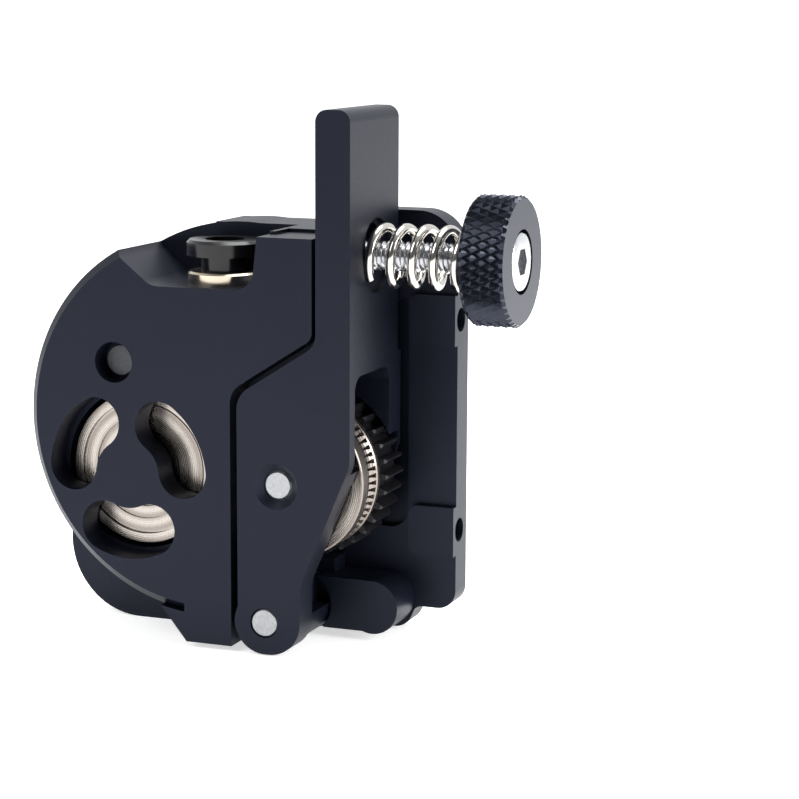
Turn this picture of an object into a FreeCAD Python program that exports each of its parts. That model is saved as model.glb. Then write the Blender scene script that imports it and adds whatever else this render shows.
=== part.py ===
"""Dual-drive filament extruder gear assembly, as separate solids, one STEP file per sub-part.

The origin is the motor axis on the rear mounting face. +X points to the thumb knob, +Y to the
motor and +Z to the filament inlet. Depths are measured from the front face, towards the motor.
"""
import FreeCAD, Part
import math
import os

V = FreeCAD.Vector
X_AXIS = V(1, 0, 0)
Y_AXIS = V(0, 1, 0)
Z_AXIS = V(0, 0, 1)

# ---- overall sizes, in millimetres ----
BODY_DEPTH = 17.4          # front face to motor face
COVER_THICKNESS = 3.2
CASE_RADIUS = 19.6         # round outline of the cover and the case behind it
CASE_X = -0.9
CASE_Z = -0.4
BODY_RIGHT = 21.4          # end face with the two tapped side holes
CASE_TOP = 19.1
COVER_TOP = 18.8
FOOT_BOTTOM = -23.0
PLATE_THICKNESS = 3.2      # rear plate on the lever's side
WEB_THICKNESS = 2.0        # rear plate behind the lever and the gears
RIM_CHAMFER = 0.9

# ---- gears and wheels ----
GEAR_MODULE = 0.5
GEAR_TEETH = 33
PINION_TEETH = 11          # the motor's own pinion, which isn't part of this assembly
GEAR_WIDTH = 4.7
TOOTH_THINNING = 0.13      # taken off each tooth at the pitch circle, for backlash
PRESSURE_ANGLE = 20.0
TIP_CLEARANCE = 0.25       # share of the module below the mating tip
WHEEL_RADIUS = 8.0
WHEEL_WIDTH = 4.7
WHEEL_SERRATIONS = 66
SERRATION_DEPTH = 0.3
GROOVE_HALF_WIDTH = 1.3
GROOVE_DEPTH = 0.55
AXLE_DROP = 6.04           # drive and idler axles below the motor axis

# ---- lever ----
PIVOT_X = 6.0
PIVOT_Z = -20.2
LEVER_ARM_THICKNESS = 3.3
LEVER_RIGHT = 15.28
LEVER_DEPTH = 14.05
HANDLE_DEPTH = 13.05
HANDLE_WIDTH = 3.64
HANDLE_TOP = 31.35
LEVER_LEFT = 3.1
PIVOT_BARREL_DEPTH = 11.0
REAR_ARM_THICKNESS = 1.6
PIN_RADIUS = 1.5

# ---- tension screw, spring and knob ----
SCREW_Z = 16.73
SCREW_DEPTH = 7.07
SCREW_RADIUS = 1.5
SCREW_LENGTH = 20.0
SCREW_HEAD_RADIUS = 2.9
SCREW_HEAD_HEIGHT = 3.0
SCREW_HEX = 2.5
KNOB_FACE_X = 30.5
KNOB_RADIUS = 6.5
KNOB_THICKNESS = 4.5
SPRING_WIRE = 1.0
SPRING_WIRE_FACES = 20       # the round wire is drawn with flats this narrow
SPRING_OUTER_RADIUS = 3.3
SPRING_TURNS = 4.3
SPRING_START = 43.0         # degrees from the lowest point of the coil to the front
SPRING_WASHER = 0.5
SPRING_SEAT_DEPTH = 0.5

# ---- filament path ----
FILAMENT_DEPTH = 6.2
FILAMENT_BORE = 1.0
TUBE_RADIUS = 2.0
COLLET_FLANGE_RADIUS = 3.9
COLLET_FLANGE_HEIGHT = 1.6
COLLET_NECK_RADIUS = 2.45
COLLET_TOP = 17.8
COUPLER_RADIUS = 3.8
NOTCH_FLOOR = 13.4
NOTCH_LEFT = -9.3
NOTCH_RIGHT = 6.0

# ---- fasteners and mounts ----
MOTOR_SCREW_PITCH = 31.0   # square pattern of the motor face, of which two corners are used
MOTOR_SCREW_HOLE = 1.65
MOTOR_SCREW_HEAD = 2.9
MOTOR_PILOT_RADIUS = 11.05
SIDE_HOLE_SPACING = 22.0
SIDE_HOLE_RADIUS = 1.25
SIDE_HOLE_LENGTH = 5.0
SIDE_HOLE_MID_Z = -1.43
COVER_SCREW_RADIUS = 1.25
COVER_SCREW_HEAD_RADIUS = 2.25
COVER_SCREW_HEAD_HEIGHT = 2.5
DOWEL_RADIUS = 1.5

# ---- clearances ----
RUNNING = 0.03             # radial, shaft in its bush or bore
SIDE_GAP = 0.3             # between parts that turn beside each other
PARTING_GAP = 0.75         # front cover to lever
HANDLE_GAP = 0.4           # front cover to handle
SCREW_GAP = 0.15           # radial, screw in a plain hole

# ---- worked out ----
FRONT = -BODY_DEPTH
FRONT_OF_BODY = FRONT + COVER_THICKNESS
CENTRE_DISTANCE = GEAR_MODULE * GEAR_TEETH
PINION_DISTANCE = GEAR_MODULE * (GEAR_TEETH + PINION_TEETH) / 2
DRIVE_X = -math.sqrt(PINION_DISTANCE**2 - AXLE_DROP**2)
DRIVE_Z = -AXLE_DROP
IDLER_X = DRIVE_X + CENTRE_DISTANCE
IDLER_Z = DRIVE_Z
FILAMENT_X = (DRIVE_X + IDLER_X) / 2
FILAMENT_Y = FRONT + FILAMENT_DEPTH
GEAR_TIP = GEAR_MODULE * (GEAR_TEETH / 2 + 1)
WHEEL_FRONT = FRONT_OF_BODY + SIDE_GAP
WHEEL_BACK = WHEEL_FRONT + WHEEL_WIDTH
GEAR_FRONT = WHEEL_BACK + SIDE_GAP / 2
GEAR_BACK = GEAR_FRONT + GEAR_WIDTH
WEB_FRONT = GEAR_BACK + SIDE_GAP
PILOT_FRONT = -WEB_THICKNESS
PLATE_FRONT = -PLATE_THICKNESS
REAR_ARM_FRONT = WEB_FRONT - SIDE_GAP / 2
REAR_ARM_BACK = REAR_ARM_FRONT + REAR_ARM_THICKNESS
HANDLE_LEFT = LEVER_RIGHT - HANDLE_WIDTH
SCREW_Y = FRONT + SCREW_DEPTH
MOTOR_HALF = MOTOR_SCREW_PITCH / 2
KNOB_INNER_X = KNOB_FACE_X - KNOB_THICKNESS
WASHER_LEFT = KNOB_INNER_X - SPRING_WASHER


def cylinder(radius, length, base, axis):
    return Part.makeCylinder(radius, length, base, axis)


def disc(x, z, radius, y0, y1):
    """A cylinder along Y from depth plane y0 to y1."""
    return cylinder(radius, y1 - y0, V(x, y0, z), Y_AXIS)


def ring(x, z, inner, outer, y0, y1):
    return disc(x, z, outer, y0, y1).cut(disc(x, z, inner, y0 - 1, y1 + 1))


def block(x0, x1, y0, y1, z0, z1):
    return Part.makeBox(x1 - x0, y1 - y0, z1 - z0, V(x0, y0, z0))


def rounded_outline(points):
    """A closed wire in the XZ plane. Each point is (x, z, corner radius)."""
    count = len(points)
    starts, ends, middles = [], [], []
    for i, (x, z, radius) in enumerate(points):
        here = V(x, 0, z)
        back = V(points[i - 1][0], 0, points[i - 1][1]) - here
        ahead = V(points[(i + 1) % count][0], 0, points[(i + 1) % count][1]) - here
        half = back.getAngle(ahead) / 2
        back.normalize()
        ahead.normalize()
        if radius <= 0 or abs(half - math.pi / 2) < 1e-6:
            starts.append(here)
            ends.append(here)
            middles.append(None)
            continue
        reach = radius / math.tan(half)
        bisector = back + ahead
        bisector.normalize()
        centre = here + bisector * (radius / math.sin(half))
        starts.append(here + back * reach)
        ends.append(here + ahead * reach)
        middles.append(centre - bisector * radius)
    edges = []
    for i in range(count):
        if middles[i] is not None:
            edges.append(Part.Arc(starts[i], middles[i], ends[i]).toShape())
        following = starts[(i + 1) % count]
        if (following - ends[i]).Length > 1e-6:
            edges.append(Part.LineSegment(ends[i], following).toShape())
    return Part.Wire(edges)


def plate(points, y0, y1):
    """A rounded outline given thickness along Y."""
    face = Part.Face(rounded_outline(points))
    face.translate(V(0, y0, 0))
    return face.extrude(V(0, y1 - y0, 0))


def turned(profile, x, z):
    """A solid turned about the Y axis through (x, z). The profile is (radius, y) points."""
    points = [V(r, y, 0) for r, y in profile]
    face = Part.Face(Part.makePolygon(points + points[:1]))
    solid = face.revolve(V(0, 0, 0), Y_AXIS, 360)
    solid.translate(V(x, 0, z))
    return solid


def turned_about_z(profile, x, y):
    """A solid turned about the Z axis through (x, y). The profile is (radius, z) points."""
    points = [V(r, 0, z) for r, z in profile]
    face = Part.Face(Part.makePolygon(points + points[:1]))
    solid = face.revolve(V(0, 0, 0), Z_AXIS, 360)
    solid.translate(V(x, y, 0))
    return solid


def turned_about_x(profile, y, z):
    """A solid turned about the X axis through (y, z). The profile is (x, radius) points."""
    points = [V(x, 0, r) for x, r in profile]
    face = Part.Face(Part.makePolygon(points + points[:1]))
    solid = face.revolve(V(0, 0, 0), X_AXIS, 360)
    solid.translate(V(0, y, z))
    return solid


def hexagon(across, length, base, axis, turn=0.0):
    """A hexagonal prism, for sockets."""
    radius = across / math.sqrt(3)
    corners = []
    for i in range(7):
        angle = math.radians(60 * i + turn)
        corners.append(V(radius * math.cos(angle), radius * math.sin(angle), 0))
    prism = Part.Face(Part.makePolygon(corners)).extrude(V(0, 0, length))
    prism.Placement = FreeCAD.Placement(base, FreeCAD.Rotation(Z_AXIS, axis))
    return prism


# ---- gears, wheels and the parts on their axles ----
JOURNAL_RADIUS = 1.5       # front end of the drive shaft
SHAFT_RADIUS = 2.5
SHAFT_REAR_RADIUS = 2.0
BUSH_OUTER_RADIUS = 2.5
BUSH_DEPTH = 1.0           # front face to the bottom of the bush's hole
BEARING_OUTER_RADIUS = 3.5
BEARING_WIDTH = 2.0
BALL_RADIUS = 0.55
BALL_COUNT = 8
NEEDLE_RADIUS = 0.5
NEEDLE_COUNT = 12
CUP_WALL = 0.45
WHEEL_PIN_RADIUS = 0.75
WHEEL_PIN_CIRCLE = 4.9
WHEEL_FACE_RECESS = 0.5
WHEEL_FACE_RECESS_RADIUS = 4.1

NEEDLE_CIRCLE = PIN_RADIUS + RUNNING + NEEDLE_RADIUS
CUP_INNER = NEEDLE_CIRCLE + NEEDLE_RADIUS + RUNNING
CUP_OUTER = CUP_INNER + CUP_WALL


def involute_point(base_radius, radius, offset):
    """A point on a tooth flank that starts at the angle offset on the base circle."""
    roll = math.sqrt(max((radius / base_radius) ** 2 - 1, 0))
    angle = offset + roll - math.atan(roll)
    return V(radius * math.cos(angle), 0, radius * math.sin(angle))


def mirrored(point):
    return V(point.x, 0, -point.z)


def gear_profile():
    """The spur gear's outline in the XZ plane, with a tooth centred on +X."""
    pitch = GEAR_MODULE * GEAR_TEETH / 2
    base = pitch * math.cos(math.radians(PRESSURE_ANGLE))
    root = pitch - GEAR_MODULE * (1 + TIP_CLEARANCE)
    half_tooth = (math.pi * GEAR_MODULE / 2 - TOOTH_THINNING) / (2 * pitch)
    roll = math.tan(math.radians(PRESSURE_ANGLE))
    start = -half_tooth - (roll - math.radians(PRESSURE_ANGLE))
    low = max(base, root)
    flank = [involute_point(base, r, start) for r in (low, (low + GEAR_TIP) / 2, GEAR_TIP)]
    tooth = 2 * math.pi / GEAR_TEETH
    edges = []
    for i in range(GEAR_TEETH):
        turn = FreeCAD.Rotation(Y_AXIS, -math.degrees(i * tooth))
        up = [turn.multVec(p) for p in flank]
        down = [turn.multVec(mirrored(p)) for p in reversed(flank)]
        tip = turn.multVec(V(GEAR_TIP, 0, 0))
        ahead = FreeCAD.Rotation(Y_AXIS, -math.degrees((i + 1) * tooth))
        valley = FreeCAD.Rotation(Y_AXIS, -math.degrees((i + 0.5) * tooth))
        edges.append(Part.Arc(*up).toShape())
        edges.append(Part.Arc(up[-1], tip, down[0]).toShape())
        edges.append(Part.Arc(*down).toShape())
        floor = valley.multVec(V(root, 0, 0))
        edges.append(Part.Arc(down[-1], floor, ahead.multVec(flank[0])).toShape())
    return Part.Wire(edges)


def spur_gear(x, z, bore):
    """A gear with chamfered tips, bored for its shaft or bearing cup."""
    face = Part.Face(gear_profile())
    face.translate(V(x, GEAR_FRONT, z))
    gear = face.extrude(V(0, GEAR_BACK - GEAR_FRONT, 0))
    chamfer = 0.25
    blank = turned(
        [
            (0, GEAR_FRONT),
            (GEAR_TIP - chamfer, GEAR_FRONT),
            (GEAR_TIP + chamfer, GEAR_FRONT + 2 * chamfer),
            (GEAR_TIP + chamfer, GEAR_BACK - 2 * chamfer),
            (GEAR_TIP - chamfer, GEAR_BACK),
            (0, GEAR_BACK),
        ],
        x,
        z,
    )
    return gear.common(blank).cut(disc(x, z, bore, GEAR_FRONT - 1, GEAR_BACK + 1))


def wheel_blank(x, z, bore):
    """The stepped and grooved steel wheel before its serrations are cut."""
    face_inner = 6.95
    line_inner = 6.75
    step_radius = 5.35
    groove_mid = FILAMENT_Y
    edge = 0.15
    profile = [
        (bore, WHEEL_FRONT + WHEEL_FACE_RECESS),
        (WHEEL_FACE_RECESS_RADIUS, WHEEL_FRONT + WHEEL_FACE_RECESS),
        (WHEEL_FACE_RECESS_RADIUS, WHEEL_FRONT + 0.25),
        (step_radius, WHEEL_FRONT + 0.25),
        (step_radius, WHEEL_FRONT + 0.1),
        (line_inner, WHEEL_FRONT + 0.1),
        (line_inner, WHEEL_FRONT + 0.4),
        (face_inner, WHEEL_FRONT + 0.4),
        (face_inner, WHEEL_FRONT),
        (WHEEL_RADIUS - edge, WHEEL_FRONT),
        (WHEEL_RADIUS, WHEEL_FRONT + edge),
    ]
    steps = 8
    for i in range(steps + 1):
        along = -1 + 2 * i / steps
        depth = GROOVE_DEPTH * (1 - along * along)
        profile.append((WHEEL_RADIUS - depth, groove_mid + along * GROOVE_HALF_WIDTH))
    profile += [
        (WHEEL_RADIUS, WHEEL_BACK - edge),
        (WHEEL_RADIUS - edge, WHEEL_BACK),
        (bore, WHEEL_BACK),
    ]
    return turned(profile, x, z)


def hob_wheel(x, z, bore):
    """A drive wheel with serrations across its groove, which bite the filament."""
    crest = WHEEL_RADIUS + SERRATION_DEPTH
    valley = WHEEL_RADIUS - GROOVE_DEPTH - SERRATION_DEPTH
    points = []
    for i in range(WHEEL_SERRATIONS * 2):
        angle = math.pi * i / WHEEL_SERRATIONS
        radius = crest if i % 2 == 0 else valley
        points.append(V(radius * math.cos(angle), 0, radius * math.sin(angle)))
    star = Part.Face(Part.makePolygon(points + points[:1]))
    width = GROOVE_HALF_WIDTH * 0.9
    star.translate(V(x, FILAMENT_Y - width, z))
    star = star.extrude(V(0, 2 * width, 0))
    band = disc(x, z, WHEEL_RADIUS + 2, FILAMENT_Y - width, FILAMENT_Y + width)
    cutter = band.cut(star)
    return wheel_blank(x, z, bore).cut(cutter)


def wheel_pins(x, z):
    """Two dowels that lock a hob wheel to its gear."""
    pins = []
    for side in (-1, 1):
        pins.append(disc(x + side * WHEEL_PIN_CIRCLE, z, WHEEL_PIN_RADIUS, WHEEL_BACK - 1.5, GEAR_FRONT + 2))
    return pins


def pin_holes(shape, x, z):
    for pin in wheel_pins(x, z):
        shape = shape.cut(pin)
    return shape


def make_drive():
    """The motor-driven shaft with its wheel and gear."""
    parts = {}
    wheel = hob_wheel(DRIVE_X, DRIVE_Z, SHAFT_RADIUS)
    gear = spur_gear(DRIVE_X, DRIVE_Z, SHAFT_RADIUS)
    parts["drive_hob_wheel"] = pin_holes(wheel, DRIVE_X, DRIVE_Z)
    parts["drive_gear"] = pin_holes(gear, DRIVE_X, DRIVE_Z)
    parts["drive_wheel_pins"] = Part.makeCompound(wheel_pins(DRIVE_X, DRIVE_Z))
    tip = FRONT + BUSH_DEPTH + SIDE_GAP
    parts["drive_shaft"] = turned(
        [
            (0, tip),
            (JOURNAL_RADIUS - 0.2, tip),
            (JOURNAL_RADIUS, tip + 0.2),
            (JOURNAL_RADIUS, WHEEL_FRONT),
            (SHAFT_RADIUS, WHEEL_FRONT),
            (SHAFT_RADIUS, WEB_FRONT),
            (SHAFT_REAR_RADIUS, WEB_FRONT),
            (SHAFT_REAR_RADIUS, WEB_FRONT + BEARING_WIDTH),
            (0, WEB_FRONT + BEARING_WIDTH),
        ],
        DRIVE_X,
        DRIVE_Z,
    )
    return parts


def make_front_bush():
    return ring(
        DRIVE_X, DRIVE_Z, JOURNAL_RADIUS + RUNNING, BUSH_OUTER_RADIUS, FRONT + BUSH_DEPTH, FRONT_OF_BODY
    )


def make_rear_bearing():
    """A small ball bearing: outer ring, inner ring and balls."""
    y0 = WEB_FRONT
    y1 = WEB_FRONT + BEARING_WIDTH
    middle = (SHAFT_REAR_RADIUS + BEARING_OUTER_RADIUS) / 2
    land = BALL_RADIUS * 0.55
    race = Part.makeTorus(middle, BALL_RADIUS + RUNNING, V(DRIVE_X, (y0 + y1) / 2, DRIVE_Z), Y_AXIS)
    outer = ring(DRIVE_X, DRIVE_Z, middle + land, BEARING_OUTER_RADIUS, y0, y1).cut(race)
    inner = ring(DRIVE_X, DRIVE_Z, SHAFT_REAR_RADIUS, middle - land, y0, y1).cut(race)
    balls = []
    for i in range(BALL_COUNT):
        angle = 2 * math.pi * i / BALL_COUNT
        x = DRIVE_X + middle * math.cos(angle)
        z = DRIVE_Z + middle * math.sin(angle)
        balls.append(Part.makeSphere(BALL_RADIUS, V(x, (y0 + y1) / 2, z)))
    return {
        "rear_bearing_outer": outer,
        "rear_bearing_inner": inner,
        "rear_bearing_balls": Part.makeCompound(balls),
    }


def make_idler():
    """The follower wheel and gear on needle rollers."""
    parts = {}
    wheel = hob_wheel(IDLER_X, IDLER_Z, CUP_OUTER)
    gear = spur_gear(IDLER_X, IDLER_Z, CUP_OUTER)
    parts["idler_hob_wheel"] = pin_holes(wheel, IDLER_X, IDLER_Z)
    parts["idler_gear"] = pin_holes(gear, IDLER_X, IDLER_Z)
    parts["idler_wheel_pins"] = Part.makeCompound(wheel_pins(IDLER_X, IDLER_Z))
    start = WHEEL_FRONT + WHEEL_FACE_RECESS
    parts["idler_bearing_cup"] = ring(IDLER_X, IDLER_Z, CUP_INNER, CUP_OUTER, start, GEAR_BACK)
    needles = []
    for i in range(NEEDLE_COUNT):
        angle = 2 * math.pi * i / NEEDLE_COUNT
        x = IDLER_X + NEEDLE_CIRCLE * math.cos(angle)
        z = IDLER_Z + NEEDLE_CIRCLE * math.sin(angle)
        needles.append(disc(x, z, NEEDLE_RADIUS, start + SIDE_GAP, GEAR_BACK - SIDE_GAP))
    parts["idler_needles"] = Part.makeCompound(needles)
    return parts


# ---- lever outline, which the cover and the case follow ----
KNEE_LOW_Z = 2.87          # where the lever's left edge turns outwards
KNEE_SLOPE = 32.5          # degrees above level
KNEE_RADIUS = 2.5
LEVER_FOOT_X = 9.9         # right edge beside the pivot
LEVER_FOOT_Z = -16.2
LEVER_HIP_Z = -3.0         # where the right edge leaves the vertical
LEVER_BOTTOM = PIVOT_Z - 3.25
BARREL_RADIUS = 3.25

KNEE_TAN = math.tan(math.radians(KNEE_SLOPE))
KNEE_HIGH_Z = KNEE_LOW_Z + (HANDLE_LEFT - LEVER_LEFT) * KNEE_TAN
CASE_EDGE_LOW = LEVER_LEFT - PARTING_GAP
CASE_EDGE_HIGH = HANDLE_LEFT - HANDLE_GAP
CASE_KNEE_RISE = PARTING_GAP / math.cos(math.radians(KNEE_SLOPE)) - PARTING_GAP * KNEE_TAN
CASE_KNEE_LOW = KNEE_LOW_Z + CASE_KNEE_RISE
CASE_KNEE_HIGH = CASE_KNEE_LOW + (CASE_EDGE_HIGH - CASE_EDGE_LOW) * KNEE_TAN


def case_profile(top, y0, y1, bottom, lip=0.0):
    """The round case with its flat top, cut along the parting line beside the lever.

    A lip reaches that much further, behind the lever's front arm.
    """
    edge = CASE_EDGE_LOW + lip
    round_part = disc(CASE_X, CASE_Z, CASE_RADIUS, y0, y1)
    top_part = block(CASE_X - 3, CASE_EDGE_HIGH, y0, y1, CASE_Z, top)
    whole = round_part.fuse(top_part)
    below = CASE_Z - CASE_RADIUS - 10
    above = top + 10
    keep = plate(
        [
            (CASE_X - 2 * CASE_RADIUS, below, 0),
            (edge, below, 0),
            (edge, CASE_KNEE_LOW - lip, KNEE_RADIUS),
            (CASE_EDGE_HIGH, CASE_KNEE_HIGH - lip, KNEE_RADIUS / 2),
            (CASE_EDGE_HIGH, above, 0),
            (CASE_X - 2 * CASE_RADIUS, above, 0),
        ],
        y0,
        y1,
    )
    foot = plate(
        [
            (CASE_X - 5.2, CASE_Z - CASE_RADIUS + 1.2, 0),
            (CASE_X - 1.8, bottom, 0),
            (edge, bottom, 0),
            (edge, CASE_Z, 0),
            (CASE_X, CASE_Z, 0),
        ],
        y0,
        y1,
    )
    return whole.common(keep).fuse(foot)


def arc_slot(x, z, angle, half_span, inner, outer, y0, y1):
    """A kidney-shaped cutter about (x, z), centred at the angle, with round ends."""
    middle = (inner + outer) / 2
    radius = (outer - inner) / 2
    band = ring(x, z, inner, outer, y0, y1)
    reach = outer * 2
    corners = [V(0, 0, 0)]
    for part in (-1, 0, 1):
        turn = math.radians(angle + part * half_span)
        corners.append(V(reach * math.cos(turn), 0, reach * math.sin(turn)))
    wedge = Part.Face(Part.makePolygon(corners + corners[:1]))
    wedge.translate(V(x, y0, z))
    slot = band.common(wedge.extrude(V(0, y1 - y0, 0)))
    for side in (-1, 1):
        turn = math.radians(angle + side * half_span)
        slot = slot.fuse(disc(x + middle * math.cos(turn), z + middle * math.sin(turn), radius, y0, y1))
    return slot


# ---- front cover ----
WINDOW_INNER = 3.55
WINDOW_OUTER = 8.85
WINDOW_HALF_SPAN = 25.0
WINDOW_ANGLES = (30, 150, 270)
DOWEL_HOLE_X = -10.6
DOWEL_HOLE_Z = 5.4
DOWEL_HOLE_RADIUS = 2.1
COVER_SCREWS = ((-15.6, 6.5), (8.3, 12.6), (-5.2, -17.2))
COVER_THREAD_DEPTH = 2.4


def notch_cutter(y0, y1, top):
    """The opening above the filament inlet, with a soft left shoulder."""
    return plate(
        [
            (NOTCH_LEFT - 4.0, top + 6.0, 0),
            (NOTCH_LEFT - 1.0, NOTCH_FLOOR + 3.2, 2.5),
            (NOTCH_LEFT + 3.0, NOTCH_FLOOR, 2.5),
            (NOTCH_RIGHT - 1.2, NOTCH_FLOOR, 2.2),
            (NOTCH_RIGHT, top + 6.0, 0),
        ],
        y0,
        y1,
    )


def rim_chamfer_cutter():
    """Takes the sharp front edge off the round rim."""
    cone = Part.makeCone(
        CASE_RADIUS - RIM_CHAMFER - 1, CASE_RADIUS + 1, RIM_CHAMFER + 2, V(CASE_X, FRONT - 1, CASE_Z), Y_AXIS
    )
    collar = disc(CASE_X, CASE_Z, CASE_RADIUS, FRONT - 0.5, FRONT + RIM_CHAMFER)
    left = block(CASE_X - 30, CASE_X - 2.0, FRONT - 1, FRONT + 5, CASE_Z - 30, NOTCH_FLOOR + 4.2)
    return collar.cut(cone).common(left)


def make_front_cover():
    cover = case_profile(COVER_TOP, FRONT, FRONT_OF_BODY, FOOT_BOTTOM)
    cover = cover.cut(notch_cutter(FRONT - 1, FRONT_OF_BODY + 1, COVER_TOP))
    cover = cover.cut(rim_chamfer_cutter())
    for angle in WINDOW_ANGLES:
        cover = cover.cut(
            arc_slot(
                DRIVE_X,
                DRIVE_Z,
                angle,
                WINDOW_HALF_SPAN,
                WINDOW_INNER,
                WINDOW_OUTER,
                FRONT - 1,
                FRONT_OF_BODY + 1,
            )
        )
    cover = cover.cut(disc(DOWEL_HOLE_X, DOWEL_HOLE_Z, DOWEL_HOLE_RADIUS, FRONT - 1, FRONT_OF_BODY - 0.8))
    cover = cover.cut(disc(DOWEL_HOLE_X, DOWEL_HOLE_Z, DOWEL_RADIUS, FRONT, FRONT_OF_BODY + 1))
    cover = cover.cut(disc(DRIVE_X, DRIVE_Z, BUSH_OUTER_RADIUS, FRONT + BUSH_DEPTH, FRONT_OF_BODY + 1))
    for x, z in COVER_SCREWS:
        thread_end = FRONT_OF_BODY - COVER_THREAD_DEPTH
        cover = cover.cut(disc(x, z, COVER_SCREW_RADIUS, thread_end, FRONT_OF_BODY + 1))
    return cover


# ---- main housing ----
EAR_DEPTH = 9.0            # front face to the ear and the corner boss
EAR_LEFT = -20.7
EAR_BOTTOM = -23.6
EAR_RADIUS = 8.0
PLATE_BOTTOM = -23.2
PLATE_BOTTOM_RIGHT = -20.8
CASE_LIP = 1.6             # how far the case reaches behind the lever's front arm
PLATE_CORNER = 2.0
LUG_RADIUS = 4.3
LUG_Z = 16.4
BOSS_X = 14.1
BOSS_Z = -20.0
BOSS_RADIUS = 2.8
BOSS_WEB_BOTTOM = -22.6     # underside of the web between the boss and the pivot
PAD_FRONT = -4.05
PAD_LEFT = 16.4
PAD_HALF = 2.6
PAD_CHAMFER = 1.0
PIVOT_BLOCK_RADIUS = 4.4
PIVOT_BLOCK_FRONT = FRONT + PIVOT_BARREL_DEPTH + SIDE_GAP
POCKET_DEPTH = 10.4
TOP_STEP = 0.35
GEAR_POCKET_GAP = 0.2
WHEEL_POCKET_GAP = 0.35
PINION_OPENING = 3.9
LEVER_RECESS_LEFT = CASE_EDGE_LOW
LEVER_RECESS_RIGHT = 16.1
LEVER_RECESS_BOTTOM = -12.5
LEVER_RECESS_TOP = 12.5
COUPLER_BARREL_RADIUS = 2.85
COUPLER_BOTTOM = 7.4
GUIDE_TOP = COUPLER_BOTTOM
GUIDE_BOTTOM = 0.8
GUIDE_RADIUS = 2.0
OUTLET_RADIUS = 2.05
OUTLET_TOP = -13.4


def rear_plate():
    """The motor plate, with its lug at the top right."""
    shape = plate(
        [
            (CASE_EDGE_LOW - 1, PLATE_BOTTOM, 0),
            (BODY_RIGHT - 5.4, PLATE_BOTTOM, 2.0),
            (BODY_RIGHT - 4.4, PLATE_BOTTOM_RIGHT, 1.0),
            (BODY_RIGHT, PLATE_BOTTOM_RIGHT, PLATE_CORNER),
            (BODY_RIGHT, LUG_Z + LUG_RADIUS, LUG_RADIUS - 0.01),
            (BODY_RIGHT - 2 * LUG_RADIUS - 2, LUG_Z + LUG_RADIUS, LUG_RADIUS / 2),
            (BODY_RIGHT - 2 * LUG_RADIUS - 4, CASE_TOP, 1.0),
            (CASE_EDGE_LOW - 1, CASE_TOP, 0),
        ],
        PLATE_FRONT,
        0,
    )
    for z in side_hole_heights():
        pad = plate(
            [
                (PAD_LEFT, z - PAD_HALF, PAD_CHAMFER),
                (BODY_RIGHT, z - PAD_HALF, 0),
                (BODY_RIGHT, z + PAD_HALF, 0),
                (PAD_LEFT, z + PAD_HALF, PAD_CHAMFER),
            ],
            PAD_FRONT,
            0,
        )
        shape = shape.fuse(pad)
    return shape


def side_hole_heights():
    half = SIDE_HOLE_SPACING / 2
    return (SIDE_HOLE_MID_Z - half, SIDE_HOLE_MID_Z + half)


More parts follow.
